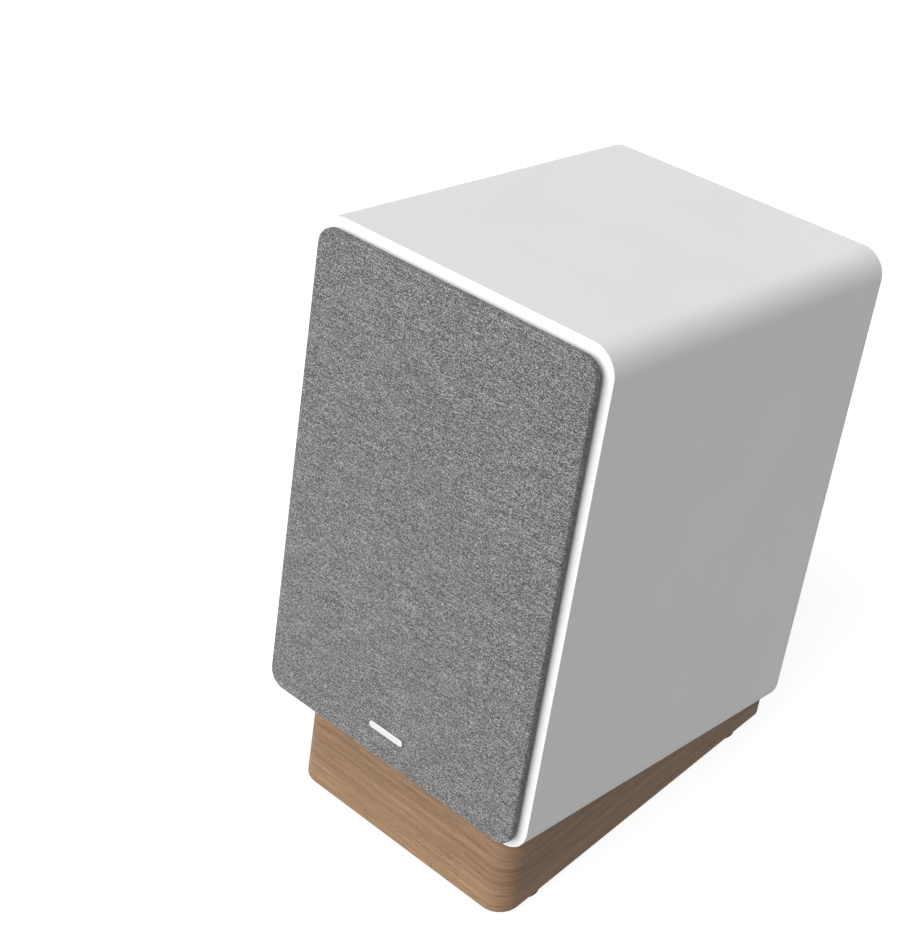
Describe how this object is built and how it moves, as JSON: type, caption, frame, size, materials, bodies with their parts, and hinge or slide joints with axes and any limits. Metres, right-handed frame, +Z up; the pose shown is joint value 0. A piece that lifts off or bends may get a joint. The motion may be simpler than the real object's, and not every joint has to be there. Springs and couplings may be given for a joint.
{
  "type": "bookshelf speaker",
  "caption": "Two-way bookshelf speaker: white round-cornered cabinet with a pull-off grey cloth grille, a reflex port at the back, leaning back on a wood wedge stand.",
  "frame": {"origin": "on the table under the middle of the bounding box", "axes": "+Z up, front of the speaker faces -Y, +X to the right of someone facing the front"},
  "size_m": [0.17, 0.2444, 0.3109],
  "materials": {
    "cabinet_paint": "satin white paint over fibreboard",
    "baffle_paint": "satin white paint over fibreboard",
    "raw_board": "bare fibreboard",
    "veneer": "open-grained walnut veneer, satin lacquer",
    "beech": "plain turned beech",
    "grille_fabric": "heather-grey open weave",
    "black_plastic": "fine-grained moulding",
    "red_plastic": "clear-coated red grip",
    "black_grip": "glossy black grip",
    "rubber": "soft matt rubber",
    "paper_cone": "pressed black pulp",
    "silk_dome": "coated silk",
    "spider_cloth": "resin-dipped corrugated cloth",
    "black_steel": "black powder coat",
    "zinc_steel": "bright zinc plate",
    "ferrite": "sintered dark grey",
    "copper_wire": "enamelled copper winding",
    "gold_plate": "bright plated brass",
    "aluminium": "fine satin",
    "board_green": "green circuit board",
    "wadding": "white polyester wadding"
  },
  "bodies": {
    "stand": {"stand_wedge": "veneer", "stand_pad": "rubber", "locating_dowel_front": "beech", "locating_dowel_back": "beech", "foot_front_left": "rubber", "foot_front_right": "rubber", "foot_back_left": "rubber", "foot_back_right": "rubber"},
    "cabinet": {"cabinet_shell": "cabinet_paint", "front_baffle": "baffle_paint", "rear_panel": "baffle_paint", "window_brace": "raw_board", "baffle_magnet_lower_left": "zinc_steel", "baffle_magnet_lower_right": "zinc_steel", "baffle_magnet_upper_left": "zinc_steel", "baffle_magnet_upper_right": "zinc_steel", "damping_wadding": "wadding", "crossover_board": "board_green", "bass_inductor": "copper_wire", "treble_inductor": "copper_wire", "treble_capacitor": "black_plastic", "woofer_lead": "rubber", "tweeter_lead": "rubber", "woofer_basket": "black_steel", "woofer_top_plate": "zinc_steel", "woofer_magnet": "ferrite", "woofer_yoke": "zinc_steel", "woofer_spider": "spider_cloth", "woofer_surround": "rubber", "woofer_screw_1": "black_steel", "woofer_screw_2": "black_steel", "woofer_screw_3": "black_steel", "woofer_screw_4": "black_steel", "tweeter_faceplate": "black_plastic", "tweeter_screw_1": "black_steel", "tweeter_screw_2": "black_steel", "tweeter_screw_3": "black_steel", "tweeter_top_plate": "zinc_steel", "tweeter_magnet": "ferrite", "tweeter_yoke": "zinc_steel", "tweeter_rear_chamber": "black_plastic", "port_tube": "black_plastic", "terminal_cup": "black_plastic", "red_post_stud": "gold_plate", "black_post_stud": "gold_plate"},
    "cone_assembly": {"woofer_cone": "paper_cone", "woofer_dust_cap": "paper_cone", "woofer_coil_former": "aluminium", "woofer_voice_coil": "copper_wire"},
    "dome_assembly": {"tweeter_dome": "silk_dome", "tweeter_voice_coil": "copper_wire"},
    "grille": {"grille_frame": "black_plastic", "grille_cloth": "grille_fabric", "grille_badge": "aluminium", "grille_magnet_lower_left": "zinc_steel", "grille_magnet_lower_right": "zinc_steel", "grille_magnet_upper_left": "zinc_steel", "grille_magnet_upper_right": "zinc_steel"},
    "red_terminal_cap": {"red_post_cap": "red_plastic"},
    "black_terminal_cap": {"black_post_cap": "black_grip"}
  },
  "joints": [
    {"name": "stand_lift_off", "type": "slide", "parent": "stand", "child": "cabinet", "axis": [0, 0.1685, 0.9857], "range_m": [0, 0.05]},
    {"name": "grille_pull_off", "type": "slide", "parent": "cabinet", "child": "grille", "axis": [0, -0.9857, 0.1685], "range_m": [0, 0.04]},
    {"name": "woofer_stroke", "type": "slide", "parent": "cabinet", "child": "cone_assembly", "axis": [0, -0.9857, 0.1685], "range_m": [-0.003, 0.003], "stiffness_N_per_m": 1200},
    {"name": "tweeter_stroke", "type": "slide", "parent": "cabinet", "child": "dome_assembly", "axis": [0, -0.9857, 0.1685], "range_m": [-0.0005, 0.0005], "stiffness_N_per_m": 2500},
    {"name": "red_cap_turn", "type": "hinge", "parent": "cabinet", "child": "red_terminal_cap", "pos_m": [-0.013, 0.08562, 0.0959], "axis": [0, 0.9857, -0.1685], "range_deg": [0, 720]},
    {"name": "black_cap_turn", "type": "hinge", "parent": "cabinet", "child": "black_terminal_cap", "pos_m": [0.013, 0.08562, 0.0959], "axis": [0, 0.9857, -0.1685], "range_deg": [0, 720]}
  ]
}
